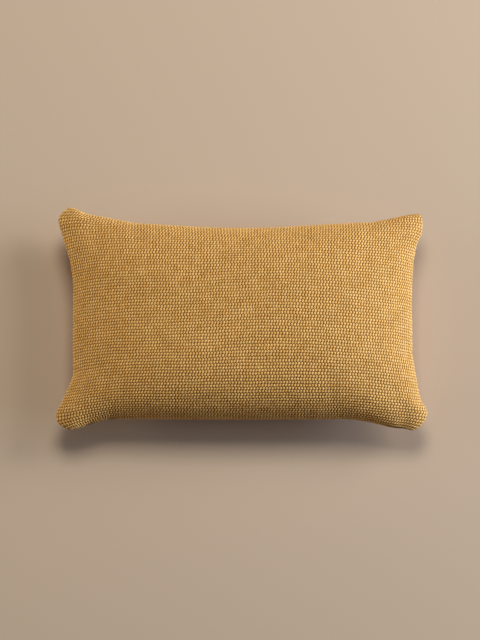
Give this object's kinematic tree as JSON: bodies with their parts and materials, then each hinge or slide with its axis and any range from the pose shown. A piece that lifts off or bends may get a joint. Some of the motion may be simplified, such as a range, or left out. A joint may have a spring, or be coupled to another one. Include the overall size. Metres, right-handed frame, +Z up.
{
  "type": "outdoor cushion",
  "caption": "Filled rectangular outdoor cushion of nubby woven cloth with a plain turned seam, crowned faces, drawn-in sides and soft corner ears, lying on its back.",
  "frame": {"origin": "middle of the overall box, at the level of the flat patch that the cushion rests on", "axes": "+X along the long side, +Y across it, +Z up through the front panel"},
  "size_m": [0.5, 0.3, 0.113],
  "materials": {
    "nubby_cloth": "matt mustard cloth, woven in small raised nubs with darker gaps"
  },
  "bodies": {
    "root": {"cushion": "nubby_cloth"}
  },
  "joints": []
}
